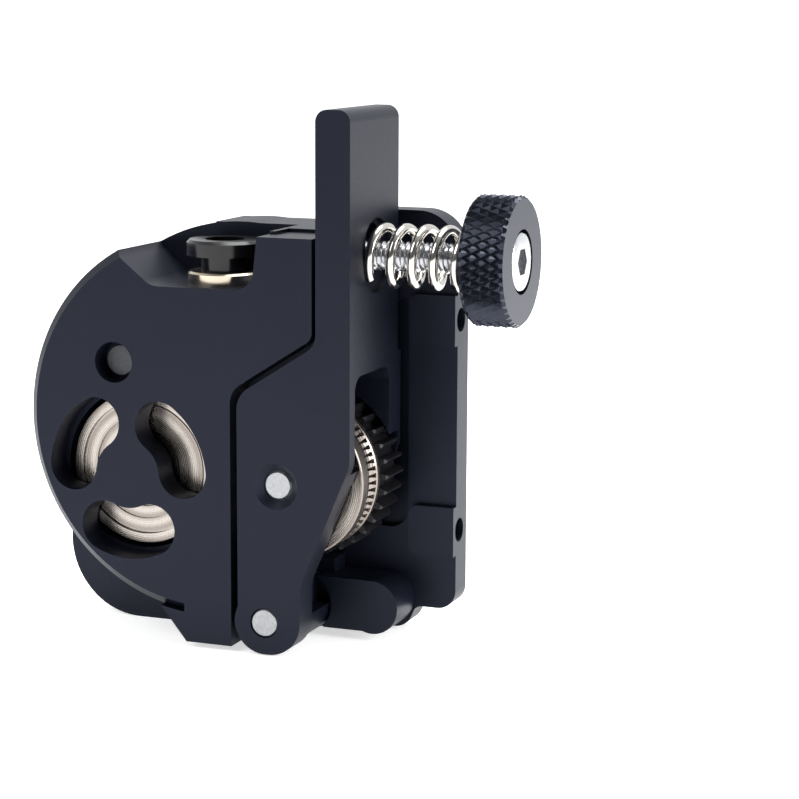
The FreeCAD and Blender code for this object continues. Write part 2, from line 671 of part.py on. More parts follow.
def make_main_housing():
    ear_front = FRONT + EAR_DEPTH
    body = case_profile(CASE_TOP, FRONT_OF_BODY, 0, PLATE_BOTTOM)
    body = body.fuse(case_profile(CASE_TOP, FRONT_OF_BODY + SIDE_GAP, 0, PLATE_BOTTOM, CASE_LIP))
    ear = plate(
        [
            (EAR_LEFT, CASE_Z, 0),
            (EAR_LEFT, EAR_BOTTOM, EAR_RADIUS),
            (CASE_EDGE_LOW, EAR_BOTTOM, 0),
            (CASE_EDGE_LOW, CASE_Z, 0),
        ],
        ear_front,
        0,
    )
    body = body.fuse(ear).fuse(rear_plate())
    body = body.fuse(disc(BOSS_X, BOSS_Z, BOSS_RADIUS, ear_front, 0))
    boss_web = block(PIVOT_X, BOSS_X, ear_front, 0, BOSS_WEB_BOTTOM, BOSS_Z + BOSS_RADIUS)
    body = body.fuse(boss_web)
    body = body.fuse(disc(PIVOT_X, PIVOT_Z, BARREL_RADIUS + 0.1, PIVOT_BLOCK_FRONT, 0))
    pivot_block = block(
        CASE_EDGE_LOW - 1, PIVOT_X + 3.0, PIVOT_BLOCK_FRONT, 0, PLATE_BOTTOM, PIVOT_Z + PIVOT_BLOCK_RADIUS
    )
    body = body.fuse(pivot_block)
    # the top of the case behind the front block sits a little higher than the block itself
    body = body.cut(
        block(NOTCH_RIGHT, BODY_RIGHT, FRONT_OF_BODY - 1, FRONT + 6.5, CASE_TOP - TOP_STEP, CASE_TOP + 5)
    )
    # pocket for the drive wheel and gear, and the space that the idler reaches into
    gear_room = GEAR_TIP + GEAR_POCKET_GAP
    wheel_room = WHEEL_RADIUS + WHEEL_POCKET_GAP
    for x, z in ((DRIVE_X, DRIVE_Z), (IDLER_X, IDLER_Z)):
        body = body.cut(disc(x, z, wheel_room, FRONT_OF_BODY - 1, WEB_FRONT))
        body = body.cut(disc(x, z, gear_room, WHEEL_BACK - 0.1, WEB_FRONT))
    body = body.cut(disc(PIVOT_X, PIVOT_Z, BARREL_RADIUS + SIDE_GAP, FRONT_OF_BODY - 1, PIVOT_BLOCK_FRONT))
    # room behind the lever's rear arm
    body = body.cut(
        plate(
            [
                (LEVER_RECESS_LEFT, LEVER_RECESS_BOTTOM, 2.0),
                (LEVER_RECESS_RIGHT, LEVER_RECESS_BOTTOM, 2.0),
                (LEVER_RECESS_RIGHT, LEVER_RECESS_TOP, 2.0),
                (LEVER_RECESS_LEFT, LEVER_RECESS_TOP, 2.0),
            ],
            REAR_ARM_FRONT - SIDE_GAP,
            PILOT_FRONT,
        ).common(
            plate(
                [
                    (LEVER_RECESS_LEFT, LEVER_RECESS_BOTTOM - 9, 0),
                    (LEVER_RECESS_RIGHT + 9, LEVER_RECESS_BOTTOM - 9, 0),
                    (LEVER_RECESS_RIGHT + 9, CASE_KNEE_LOW + 13.75 * KNEE_TAN + 6, 0),
                    (LEVER_RECESS_LEFT, CASE_KNEE_LOW, 0),
                ],
                WEB_FRONT - 6,
                1,
            )
        )
    )
    # motor pilot, pinion opening, bearing seat
    body = body.cut(disc(0, 0, MOTOR_PILOT_RADIUS, PILOT_FRONT, 1))
    body = body.cut(disc(0, 0, PINION_OPENING, WHEEL_FRONT, 1))
    body = body.cut(disc(DRIVE_X, DRIVE_Z, BEARING_OUTER_RADIUS, WEB_FRONT - 1, WEB_FRONT + BEARING_WIDTH))
    # the pockets leave a loose crumb where they meet, which the cutter would carry off
    return max(drill_housing(body).Solids, key=lambda solid: solid.Volume)


def drill_housing(body):
    """All the small holes and seats of the housing."""
    ear_front = FRONT + EAR_DEPTH
    for sign in (-1, 1):
        body = body.cut(disc(sign * MOTOR_HALF, sign * MOTOR_HALF, MOTOR_SCREW_HOLE, FRONT_OF_BODY - 1, 1))
    body = body.cut(disc(-MOTOR_HALF, -MOTOR_HALF, MOTOR_SCREW_HEAD, FRONT_OF_BODY - 1, ear_front + 3.2))
    for x, z in COVER_SCREWS:
        body = body.cut(disc(x, z, COVER_SCREW_RADIUS + SCREW_GAP, FRONT_OF_BODY - 1, 1))
        body = body.cut(disc(x, z, COVER_SCREW_HEAD_RADIUS + SCREW_GAP, -COVER_SCREW_HEAD_HEIGHT - 0.2, 1))
    body = body.cut(disc(DOWEL_HOLE_X, DOWEL_HOLE_Z, DOWEL_RADIUS, FRONT_OF_BODY - 1, FRONT_OF_BODY + 4))
    body = body.cut(disc(PIVOT_X, PIVOT_Z, PIN_RADIUS, PIVOT_BLOCK_FRONT - 1, 1))
    for z in side_hole_heights():
        start = BODY_RIGHT - SIDE_HOLE_LENGTH
        body = body.cut(cylinder(SIDE_HOLE_RADIUS, SIDE_HOLE_LENGTH + 1, V(start, side_hole_y(), z), X_AXIS))
    body = body.cut(notch_cutter(FRONT_OF_BODY - 1, FRONT + POCKET_DEPTH, CASE_TOP))
    centre = (FILAMENT_X, FILAMENT_Y)
    body = body.cut(cylinder(COUPLER_BARREL_RADIUS, 20, V(*centre, COUPLER_BOTTOM), Z_AXIS))
    body = body.cut(cylinder(GUIDE_RADIUS, 20, V(*centre, GUIDE_BOTTOM), Z_AXIS))
    body = body.cut(cylinder(OUTLET_RADIUS, 20, V(*centre, OUTLET_TOP - 20), Z_AXIS))
    body = body.cut(cylinder(FILAMENT_BORE + 0.2, GUIDE_BOTTOM - OUTLET_TOP, V(*centre, OUTLET_TOP), Z_AXIS))
    tap = SCREW_RADIUS + RUNNING
    body = body.cut(cylinder(tap, 20, V(NOTCH_RIGHT - 1, SCREW_Y, SCREW_Z), X_AXIS))
    return body


def side_hole_y():
    return PAD_FRONT / 2 - 0.2


# ---- lever ----
WINDOW_FRONT = 1.35
WINDOW_BACK = 10.6
WINDOW_TOP = 5.2
WINDOW_CORNER = 1.6
WINDOW_BOTTOM = -20.0
LEVER_INNER_LEFT = 4.6
SLOT_RISE = 1.5
SCREW_SLOT_GAP = 0.25
REAR_ARM_LEFT = 4.7
REAR_ARM_RIGHT = 11.5
PIN_RECESS = 0.6
PIN_SINK_RADIUS = 2.0


def lever_outline(y0, y1, right=LEVER_RIGHT):
    """The lever seen from the front."""
    return plate(
        [
            (LEVER_LEFT, LEVER_BOTTOM, BARREL_RADIUS - 0.2),
            (LEVER_FOOT_X, LEVER_BOTTOM, BARREL_RADIUS + 0.2),
            (LEVER_FOOT_X, LEVER_FOOT_Z, 3.0),
            (right, LEVER_HIP_Z - 0.4, 3.0),
            (right, HANDLE_TOP, 1.2),
            (HANDLE_LEFT, HANDLE_TOP, 1.2),
            (HANDLE_LEFT, KNEE_HIGH_Z, KNEE_RADIUS - 0.4),
            (LEVER_LEFT, KNEE_LOW_Z, KNEE_RADIUS),
        ],
        y0,
        y1,
    )


def make_tension_lever():
    arm_back = FRONT + LEVER_ARM_THICKNESS - 0.1
    lever = lever_outline(FRONT, arm_back)
    # right-hand wall and handle, deeper below than at the grip
    wall_back = FRONT + LEVER_DEPTH - 0.15
    deep = lever_outline(FRONT, wall_back)
    keep_wall = block(HANDLE_LEFT, LEVER_RIGHT + 1, FRONT - 1, wall_back + 1, LEVER_HIP_Z - 6, HANDLE_TOP + 1)
    wall = deep.common(keep_wall)
    grip_start = side_hole_heights()[1] - PAD_HALF - 2 * SIDE_GAP
    grip_back = FRONT + HANDLE_DEPTH
    grip_cut = block(HANDLE_LEFT - 1, LEVER_RIGHT + 1, grip_back, 0, grip_start, HANDLE_TOP + 1)
    lever = lever.fuse(wall.cut(grip_cut))
    # rear arm that carries the back of the idler pin
    arm = plate(
        [
            (REAR_ARM_LEFT, IDLER_Z - 2.6, 2.5),
            (IDLER_X + 2.6, IDLER_Z - 2.6, 2.5),
            (REAR_ARM_RIGHT, KNEE_LOW_Z, 1.0),
            (REAR_ARM_RIGHT, grip_start, 0),
            (REAR_ARM_LEFT + 4.5, grip_start, 1.0),
            (REAR_ARM_LEFT, KNEE_LOW_Z, 1.0),
        ],
        REAR_ARM_FRONT,
        REAR_ARM_BACK,
    )
    bridge = block(
        REAR_ARM_RIGHT - 2, LEVER_RIGHT - 0.5, REAR_ARM_FRONT, wall_back, KNEE_LOW_Z, grip_start
    )
    lever = lever.fuse(arm).fuse(bridge)
    # pivot barrel
    lever = lever.fuse(disc(PIVOT_X, PIVOT_Z, BARREL_RADIUS, FRONT, FRONT + PIVOT_BARREL_DEPTH))
    return finish_lever(lever)


def side_window():
    """A cutter that opens the right-hand wall towards the wheels."""
    cutter = block(
        HANDLE_LEFT - 4, LEVER_RIGHT + 1, FRONT + WINDOW_FRONT, FRONT + WINDOW_BACK, WINDOW_BOTTOM, WINDOW_TOP
    )
    top_edges = []
    for edge in cutter.Edges:
        if edge.BoundBox.XLength > 1 and edge.BoundBox.ZMin > WINDOW_TOP - 0.01:
            top_edges.append(edge)
    return cutter.makeFillet(WINDOW_CORNER, top_edges)


def finish_lever(lever):
    """Cuts the openings and holes of the lever."""
    arm_back = FRONT + LEVER_ARM_THICKNESS
    front_arm = block(CASE_EDGE_LOW, LEVER_RIGHT + 2, FRONT - 1, arm_back, LEVER_BOTTOM, LEVER_HIP_Z - 1.5)
    lever = lever.cut(side_window().cut(front_arm))
    swing_room = disc(IDLER_X, IDLER_Z, GEAR_TIP + GEAR_POCKET_GAP, arm_back - 0.1, REAR_ARM_FRONT)
    lever = lever.cut(swing_room)
    lever = lever.cut(disc(IDLER_X, IDLER_Z, PIN_RADIUS, FRONT - 1, REAR_ARM_BACK + 1))
    sink = Part.makeCone(PIN_SINK_RADIUS + 0.35, PIN_RADIUS, 0.8, V(IDLER_X, FRONT, IDLER_Z), Y_AXIS)
    lever = lever.cut(sink)
    lever = lever.cut(disc(PIVOT_X, PIVOT_Z, PIN_RADIUS + RUNNING, FRONT - 1, 1))
    slot_radius = SCREW_RADIUS + SCREW_SLOT_GAP
    for rise in (0, SLOT_RISE):
        lever = lever.cut(cylinder(slot_radius, 10, V(HANDLE_LEFT - 2, SCREW_Y, SCREW_Z + rise), X_AXIS))
    lever = lever.cut(
        block(HANDLE_LEFT - 2, LEVER_RIGHT + 1, SCREW_Y - slot_radius, SCREW_Y + slot_radius,
              SCREW_Z, SCREW_Z + SLOT_RISE)
    )
    seat_floor = V(LEVER_RIGHT - SPRING_SEAT_DEPTH, SCREW_Y, SCREW_Z)
    seat = cylinder(SPRING_OUTER_RADIUS + 0.45, 5, seat_floor, X_AXIS)
    return lever.cut(seat)


def make_pins():
    """The idler pin in the lever, and the lever's pivot pin in the housing."""
    idler = disc(IDLER_X, IDLER_Z, PIN_RADIUS, FRONT + PIN_RECESS, REAR_ARM_BACK)
    pivot = disc(PIVOT_X, PIVOT_Z, PIN_RADIUS, FRONT, -0.5)
    return {"idler_pin": end_chamfers(idler, 0.2), "pivot_pin": end_chamfers(pivot, 0.2)}


def end_chamfers(shape, size):
    """Chamfers every full-circle edge of a plain pin."""
    edges = [e for e in shape.Edges if len(e.Vertexes) == 1]
    return shape.makeChamfer(size, edges)


# ---- tension screw, knob, washer and spring ----
def make_thumb_knob():
    y, z = SCREW_Y, SCREW_Z
    edge = 0.7
    head_room = SCREW_HEAD_RADIUS + SCREW_GAP + 0.3
    knob = turned_about_x(
        [
            (KNOB_INNER_X, SCREW_RADIUS + RUNNING),
            (KNOB_INNER_X, KNOB_RADIUS - edge),
            (KNOB_INNER_X + edge, KNOB_RADIUS),
            (KNOB_FACE_X - edge, KNOB_RADIUS),
            (KNOB_FACE_X, KNOB_RADIUS - edge),
            (KNOB_FACE_X, head_room),
            (KNOB_FACE_X - SCREW_HEAD_HEIGHT, head_room),
            (KNOB_FACE_X - SCREW_HEAD_HEIGHT, SCREW_RADIUS + RUNNING),
        ],
        y,
        z,
    )
    return knob


def make_tension_screw():
    y, z = SCREW_Y, SCREW_Z
    head = KNOB_FACE_X - SCREW_HEAD_HEIGHT
    tip = head - SCREW_LENGTH
    screw = turned_about_x(
        [
            (tip, 0),
            (tip, SCREW_RADIUS - 0.4),
            (tip + 0.4, SCREW_RADIUS),
            (head, SCREW_RADIUS),
            (head, SCREW_HEAD_RADIUS),
            (KNOB_FACE_X - 0.2, SCREW_HEAD_RADIUS),
            (KNOB_FACE_X, SCREW_HEAD_RADIUS - 0.2),
            (KNOB_FACE_X, 0),
        ],
        y,
        z,
    )
    return screw.cut(hexagon(SCREW_HEX, 3, V(KNOB_FACE_X - 1.6, y, z), X_AXIS))


def make_spring_washer():
    start = V(WASHER_LEFT, SCREW_Y, SCREW_Z)
    outer = cylinder(SPRING_OUTER_RADIUS, SPRING_WASHER, start, X_AXIS)
    return outer.cut(cylinder(SCREW_RADIUS + RUNNING, 3, start - X_AXIS, X_AXIS))


def make_tension_spring():
    """A left-hand open coil along X, swept from the lever's seat to the washer."""
    start = LEVER_RIGHT - SPRING_SEAT_DEPTH + SPRING_WIRE / 2 + 0.02
    end = WASHER_LEFT - SPRING_WIRE / 2 - 0.02
    radius = SPRING_OUTER_RADIUS - SPRING_WIRE / 2
    pitch = (end - start) / SPRING_TURNS
    helix = Part.makeHelix(pitch, end - start, radius, 0, True)
    along_wire = V(0, -2 * math.pi * radius, pitch)
    # flats with the round wire's own area, because a mesh follows them exactly
    step = 2 * math.pi / SPRING_WIRE_FACES
    corner = SPRING_WIRE / 2 * math.sqrt(step / math.sin(step))
    across = along_wire.cross(X_AXIS).normalize()
    corners = []
    for i in range(SPRING_WIRE_FACES + 1):
        turn = i * step
        corners.append(V(radius, 0, 0) + X_AXIS * corner * math.cos(turn) + across * corner * math.sin(turn))
    profile = Part.makePolygon(corners)
    coil = Part.Wire(helix).makePipeShell([profile], True, True)
    coil.rotate(V(0, 0, 0), Y_AXIS, 90)
    coil.rotate(V(0, 0, 0), X_AXIS, -SPRING_START)
    coil.translate(V(start, SCREW_Y, SCREW_Z))
    return coil


# ---- filament inlet ----
def make_inlet():
    """The release collet, its ring in the housing and the filament guide below."""
    x, y = FILAMENT_X, FILAMENT_Y
    ring_height = 1.2
    floor = NOTCH_FLOOR
    bore = COLLET_NECK_RADIUS + RUNNING
    coupler = turned_about_z(
        [
            (TUBE_RADIUS + RUNNING, COUPLER_BOTTOM),
            (COUPLER_BARREL_RADIUS, COUPLER_BOTTOM),
            (COUPLER_BARREL_RADIUS, floor),
            (COUPLER_RADIUS, floor),
            (COUPLER_RADIUS, floor + ring_height - 0.2),
            (COUPLER_RADIUS - 0.2, floor + ring_height),
            (bore, floor + ring_height),
            (bore, COUPLER_BOTTOM + 1.8),
            (TUBE_RADIUS + RUNNING, COUPLER_BOTTOM + 1.8),
        ],
        x,
        y,
    )
    inner = TUBE_RADIUS + 0.05
    low = COUPLER_BOTTOM + 1.8 + 1.2
    collet = turned_about_z(
        [
            (inner, low),
            (COLLET_NECK_RADIUS, low),
            (COLLET_NECK_RADIUS, COLLET_TOP - COLLET_FLANGE_HEIGHT),
            (COLLET_FLANGE_RADIUS, COLLET_TOP - COLLET_FLANGE_HEIGHT),
            (COLLET_FLANGE_RADIUS, COLLET_TOP - 0.3),
            (COLLET_FLANGE_RADIUS - 0.3, COLLET_TOP),
            (inner, COLLET_TOP),
        ],
        x,
        y,
    )
    slit = block(x - 5, x + 5, y - 0.3, y + 0.3, low - 1, COLLET_TOP - COLLET_FLANGE_HEIGHT - 0.3)
    guide = cylinder(GUIDE_RADIUS, GUIDE_TOP - GUIDE_BOTTOM, V(x, y, GUIDE_BOTTOM), Z_AXIS)
    guide = guide.cut(cylinder(FILAMENT_BORE, 20, V(x, y, GUIDE_BOTTOM - 1), Z_AXIS))
    return {"coupler_ring": coupler, "release_collet": collet.cut(slit), "filament_guide": guide}


# ---- fasteners in the housing ----
def make_cover_screws():
    """Socket screws from the motor face into the cover's tapped holes."""
    tip = FRONT_OF_BODY - COVER_THREAD_DEPTH + 0.2
    head = -COVER_SCREW_HEAD_HEIGHT - 0.2
    screws = []
    for x, z in COVER_SCREWS:
        screw = turned(
            [
                (0, tip),
                (COVER_SCREW_RADIUS, tip),
                (COVER_SCREW_RADIUS, head),
                (COVER_SCREW_HEAD_RADIUS, head),
                (COVER_SCREW_HEAD_RADIUS, head + COVER_SCREW_HEAD_HEIGHT),
                (0, head + COVER_SCREW_HEAD_HEIGHT),
            ],
            x,
            z,
        )
        socket = hexagon(2.0, 3, V(x, head + 1.2, z), Y_AXIS)
        screws.append(screw.cut(socket))
    return Part.makeCompound(screws)


def make_locating_dowel():
    return disc(DOWEL_HOLE_X, DOWEL_HOLE_Z, DOWEL_RADIUS, FRONT_OF_BODY - 1.6, FRONT_OF_BODY + 3.8)


def build_parts():
    parts = {
        "main_housing": make_main_housing(),
        "front_cover": make_front_cover(),
        "locating_dowel": make_locating_dowel(),
        "cover_screws": make_cover_screws(),
        "front_bush": make_front_bush(),
        "tension_lever": make_tension_lever(),
        "thumb_knob": make_thumb_knob(),
        "tension_screw": make_tension_screw(),
        "spring_washer": make_spring_washer(),
        "tension_spring": make_tension_spring(),
    }
    parts.update(make_rear_bearing())
    parts.update(make_drive())
    parts.update(make_idler())
    parts.update(make_pins())
    parts.update(make_inlet())
    return parts


def main():
    os.makedirs("parts", exist_ok=True)
    for name, shape in build_parts().items():
        solids = len(shape.Solids)
        print(f"{name}: {solids} solid(s), {shape.Volume:.1f} mm3, valid {shape.isValid()}")
        shape.exportStep(f"parts/{name}.step")


main()
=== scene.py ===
"""Extruder gear assembly: finishes, a knurled knob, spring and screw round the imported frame.

Lengths are in metres and axes are the frame's: X to the knob, Y to the motor, Z up.
Places and sizes come from the frame's own boxes, so a piece follows its CAD part.
"""

import math

import bmesh
import bpy
from mathutils import Matrix, Vector


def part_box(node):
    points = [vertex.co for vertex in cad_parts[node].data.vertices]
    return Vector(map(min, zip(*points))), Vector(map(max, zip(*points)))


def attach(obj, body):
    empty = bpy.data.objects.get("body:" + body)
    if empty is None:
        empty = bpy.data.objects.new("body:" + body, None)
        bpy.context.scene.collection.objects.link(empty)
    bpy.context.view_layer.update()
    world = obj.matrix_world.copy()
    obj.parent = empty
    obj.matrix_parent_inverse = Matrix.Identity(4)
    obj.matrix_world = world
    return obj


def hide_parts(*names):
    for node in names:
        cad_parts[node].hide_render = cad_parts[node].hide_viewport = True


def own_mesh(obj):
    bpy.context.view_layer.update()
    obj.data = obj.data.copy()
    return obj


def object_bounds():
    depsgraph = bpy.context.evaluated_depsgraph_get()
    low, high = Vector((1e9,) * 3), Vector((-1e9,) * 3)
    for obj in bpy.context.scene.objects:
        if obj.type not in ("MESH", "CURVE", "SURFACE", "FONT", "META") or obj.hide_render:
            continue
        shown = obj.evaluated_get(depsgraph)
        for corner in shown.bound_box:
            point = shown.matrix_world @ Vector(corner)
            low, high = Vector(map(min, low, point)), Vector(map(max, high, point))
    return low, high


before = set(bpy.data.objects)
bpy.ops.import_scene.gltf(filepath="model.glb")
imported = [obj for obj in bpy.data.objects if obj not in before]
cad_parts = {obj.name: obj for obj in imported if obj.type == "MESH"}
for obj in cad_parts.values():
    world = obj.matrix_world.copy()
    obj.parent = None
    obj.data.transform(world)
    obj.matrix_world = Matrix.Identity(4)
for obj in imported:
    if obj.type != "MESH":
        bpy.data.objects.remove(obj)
cad_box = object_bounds()
MM = 0.001

# ---- camera ----
CAMERA_AT = Vector((98.98, -223.01, 41.65)) * MM
CAMERA_AZIMUTH = math.radians(20.895)
CAMERA_ELEVATION = math.radians(9.797)
CAMERA_ROLL = math.radians(0.298)
CAMERA_LENS = 103.95
SENSOR_WIDTH = 36.0

# ---- knob, screw and spring sizes ----
KNURL_COUNT = 44            # diamonds round the rim
KNURL_ROWS = 2              # diamonds across the rim
KNURL_DEPTH = 0.36 * MM
KNOB_EDGE = 0.35 * MM       # chamfer beside the knurl
KNOB_HOLE_GAP = 0.3 * MM
THREAD_RADIUS = 1.5 * MM
THREAD_PITCH = 0.5 * MM
THREAD_DEPTH = 0.27 * MM
THREAD_STEPS = 36           # per turn
THREAD_GAP = 0.1 * MM
HEAD_HEIGHT = 3.0 * MM
HEX_ACROSS_FLATS = 2.5 * MM
HEX_DEPTH = 1.6 * MM
HEAD_CHAMFER = 0.25 * MM
SPRING_WIRE = 1.0 * MM
SPRING_TURNS = 4.3
SPRING_START = math.radians(270 - 43)   # where the wire starts, about X from +Y
SPRING_STEPS = 48           # per turn
WIRE_SIDES = 20

# ---- studio ----
FLOOR_SIZE = 3.0
ROOM_COLOUR = "#f4f6f8"
ROOM_BRIGHT = 1.15          # behind the part
ROOM_DIM = 0.14             # in front of it, where the room is darker
FLOOR_GLOW = 0.6


# ---- the look of the dye ----
ANODISE_SPECULAR = 0.3
ANODISE_TINT = "#d3dbf8"


# ---- small helpers ----
def linear(hex_colour):
    """An sRGB hex colour as the linear RGBA that a shader socket takes."""
    parts = [int(hex_colour[i : i + 2], 16) / 255 for i in (1, 3, 5)]
    return [c / 12.92 if c <= 0.04045 else ((c + 0.055) / 1.055) ** 2.4 for c in parts] + [1.0]


def add(material, kind, inputs=None, **settings):
    """Adds a shader node. An input is a number, a colour or another node's output socket."""
    made = material.node_tree.nodes.new(kind)
    for name, value in settings.items():
        setattr(made, name, value)
    for name, value in (inputs or {}).items():
        if isinstance(value, bpy.types.NodeSocket):
            material.node_tree.links.new(value, made.inputs[name])
        else:
            made.inputs[name].default_value = value
    return made


def new_finish(name, colour, roughness, metallic=0.0):
    """A material with its Principled shader set, and the shader itself."""
    material = bpy.data.materials.new(name)
    material.use_nodes = True
    shader = material.node_tree.nodes["Principled BSDF"]
    shader.inputs["Base Color"].default_value = linear(colour)
    shader.inputs["Roughness"].default_value = roughness
    shader.inputs["Metallic"].default_value = metallic
    return material, shader


def place(material, centre=(0, 0, 0)):
    """Object coordinates measured from a centre."""
    where = add(material, "ShaderNodeTexCoord")
    shift = {"Vector": where.outputs["Object"], "Location": [-c for c in centre]}
    return add(material, "ShaderNodeMapping", shift).outputs["Vector"]


def grain(material, vector, size, detail=2.0):
    """Noise with lumps of a real size."""
    inputs = {"Vector": vector, "Scale": 1 / size, "Detail": detail}
    return add(material, "ShaderNodeTexNoise", inputs).outputs["Fac"]


def rings(material, vector, spacing, direction):
    """Close concentric lines round one axis, as a lathe tool leaves them."""
    # the wave texture repeats every 2 pi / 20 units at scale 1
    inputs = {"Vector": vector, "Scale": math.pi / 10 / spacing}
    lines = add(
        material,
        "ShaderNodeTexWave",
        inputs,
        wave_type="RINGS",
        rings_direction=direction,
    )
    return lines.outputs["Fac"]


def between(material, factor, low, high):
    """Maps a 0 to 1 pattern to a range of values."""
    inputs = {"Value": factor, "To Min": low, "To Max": high}
    return add(material, "ShaderNodeMapRange", inputs).outputs["Result"]


def tint(material, factor, dark, light):
    """Two hex colours mixed by a pattern."""
    ramp = add(material, "ShaderNodeValToRGB", {"Fac": factor})
    ramp.color_ramp.elements[0].color = linear(dark)
    ramp.color_ramp.elements[1].color = linear(light)
    return ramp.outputs["Color"]


def roughen(material, shader, height, distance, strength=1.0):
    """Turns a pattern into relief of a real depth."""
    inputs = {"Height": height, "Distance": distance, "Strength": strength}
    bump = add(material, "ShaderNodeBump", inputs)
    material.node_tree.links.new(bump.outputs["Normal"], shader.inputs["Normal"])


def feed(material, source, shader, socket):
    material.node_tree.links.new(source, shader.inputs[socket])


# ---- finishes ----
def blasted_black_anodise():
    """Bead-blasted aluminium, dyed black in the oxide: an even slate sheen with a fine tooth."""
    material, shader = new_finish("black anodised aluminium", "#0b0d14", 0.42)
    where = place(material)
    # 0.1 mm grit is drawn at 0.16 mm, as coarse as it needs to be to show
    pits = grain(material, where, 0.16 * MM)
    cloud = grain(material, where, 6 * MM)
    feed(material, tint(material, cloud, "#060811", "#0a0d17"), shader, "Base Color")
    shader.inputs["Specular IOR Level"].default_value = ANODISE_SPECULAR
    shader.inputs["Specular Tint"].default_value = linear(ANODISE_TINT)
    feed(material, between(material, pits, 0.36, 0.50), shader, "Roughness")
    roughen(material, shader, pits, 0.006 * MM, 0.6)
    return material


def turned_black_anodise(centre):
    """Black-dyed aluminium left from the lathe: fine rings that catch the light."""
    material, shader = new_finish("turned black anodised aluminium", "#0b0e18", 0.38)
    shader.inputs["Specular Tint"].default_value = linear(ANODISE_TINT)
    where = place(material, centre)
    lines = rings(material, where, 0.2 * MM, "X")
    feed(material, between(material, lines, 0.32, 0.44), shader, "Roughness")
    roughen(material, shader, lines, 0.004 * MM, 0.4)
    return material


def knurled_black_anodise():
    """Knurled and black-dyed: harder and glossier on the crests, so they glint."""
    material, shader = new_finish("knurled black anodised aluminium", "#0a0c13", 0.26)
    where = place(material)
    wear = grain(material, where, 0.7 * MM)
    feed(material, between(material, wear, 0.18, 0.36), shader, "Roughness")
    shader.inputs["Specular Tint"].default_value = linear(ANODISE_TINT)
    return material


def turned_steel(centre):
    """Hardened steel wheel from the lathe: warm grey with close concentric tool lines."""
    material, shader = new_finish("turned steel", "#958e87", 0.26, 1.0)
    where = place(material, centre)
    # a feed of 0.1 mm a turn is drawn at 0.2 mm, over bands where the tool was set anew
    lines = rings(material, where, 0.2 * MM, "Y")
    bands = rings(material, where, 1.3 * MM, "Y")
    feed(material, tint(material, bands, "#857d77", "#aaa39c"), shader, "Base Color")
    feed(material, between(material, lines, 0.32, 0.2), shader, "Roughness")
    roughen(material, shader, lines, 0.005 * MM, 0.6)
    return material


def ground_pin_steel():
    """Centreless-ground dowel steel: pale grey with a satin end face."""
    material, shader = new_finish("ground pin steel", "#909194", 0.34, 1.0)
    where = place(material)
    scratches = grain(material, where, 0.25 * MM, 4.0)
    feed(material, tint(material, scratches, "#7c7d80", "#b0b1b3"), shader, "Base Color")
    feed(material, between(material, scratches, 0.27, 0.42), shader, "Roughness")
    roughen(material, shader, scratches, 0.01 * MM, 0.5)
    return material


def dull_dowel_steel():
    """Dowel steel sunk in its hole, coloured a mid grey darker than the other pins, and quite
    matt.
    """
    # a plain mid grey, darker than the other pins' steel, with a fine random speckle
    material, shader = new_finish("mid grey dowel steel", "#4c4d50", 0.5, 1.0)
    where = place(material)
    dowel_speckle = grain(material, where, 0.15 * MM)
    feed(material, tint(material, dowel_speckle, "#3f4043", "#5a5b5e"), shader, "Base Color")
    roughen(material, shader, dowel_speckle, 0.008 * MM, 0.5)
    return material


def nickel_screw():
    """Nickel-plated screw steel: bright silver with a soft reflection."""
    material, shader = new_finish("nickel-plated screw steel", "#cfd0d3", 0.22, 1.0)
    where = place(material)
    haze = grain(material, where, 0.4 * MM)
    feed(material, between(material, haze, 0.17, 0.27), shader, "Roughness")
    return material


def nickel_spring():
    """Nickel-plated spring wire: almost a mirror, with drawing marks along it."""
    material, shader = new_finish("nickel-plated spring wire", "#cdc9c2", 0.13, 1.0)
    where = place(material)
    marks = grain(material, where, 0.5 * MM)
    feed(material, between(material, marks, 0.09, 0.18), shader, "Roughness")
    return material


def sintered_bronze():
    """Oil-filled sintered bronze: dull brown-gold with small pores."""
    material, shader = new_finish("sintered bronze", "#8a6a3f", 0.45, 1.0)
    where = place(material)
    pores = grain(material, where, 0.12 * MM)
    feed(material, tint(material, pores, "#6f532f", "#9c7b4c"), shader, "Base Color")
    roughen(material, shader, pores, 0.01 * MM, 0.6)
    return material


def bearing_steel():
    """Polished chrome bearing steel: cool and near mirror."""
    material, shader = new_finish("polished bearing steel", "#bfc2c6", 0.16, 1.0)
    where = place(material)
    haze = grain(material, where, 0.8 * MM)
    feed(material, between(material, haze, 0.12, 0.22), shader, "Roughness")
    return material


def black_oxide_gear():
    """Cut steel gear with a black oxide coat: oily black, brighter where teeth rub."""
    material, shader = new_finish("black oxide steel", "#1a1a1c", 0.33, 0.5)
    where = place(material)
    film = grain(material, where, 0.7 * MM)
    feed(material, tint(material, film, "#141416", "#242428"), shader, "Base Color")
    feed(material, between(material, film, 0.27, 0.42), shader, "Roughness")
    return material


def warm_nickel(centre):
    """Turned brass with nickel plate: a warm bright ring."""
    material, shader = new_finish("nickel-plated brass", "#c9bda9", 0.22, 1.0)
    where = place(material, centre)
    lines = rings(material, where, 0.2 * MM, "Z")
    feed(material, between(material, lines, 0.16, 0.28), shader, "Roughness")
    return material


def glossy_acetal():
    """Moulded black acetal: a clear gloss with faint flow marks."""
    material, shader = new_finish("moulded black acetal", "#0c0c0e", 0.22)
    where = place(material)
    flow = grain(material, where, 1.5 * MM)
    feed(material, between(material, flow, 0.18, 0.28), shader, "Roughness")
    return material


def milky_ptfe():
    """Extruded PTFE tube: waxy and slightly see-through white."""
    material, shader = new_finish("extruded PTFE", "#e4e4de", 0.4)
    where = place(material)
    wax = grain(material, where, 0.8 * MM)
    feed(material, tint(material, wax, "#d9d9d2", "#ecece7"), shader, "Base Color")
    shader.inputs["Subsurface Weight"].default_value = 0.2
    shader.inputs["Subsurface Scale"].default_value = 0.5 * MM
    return material


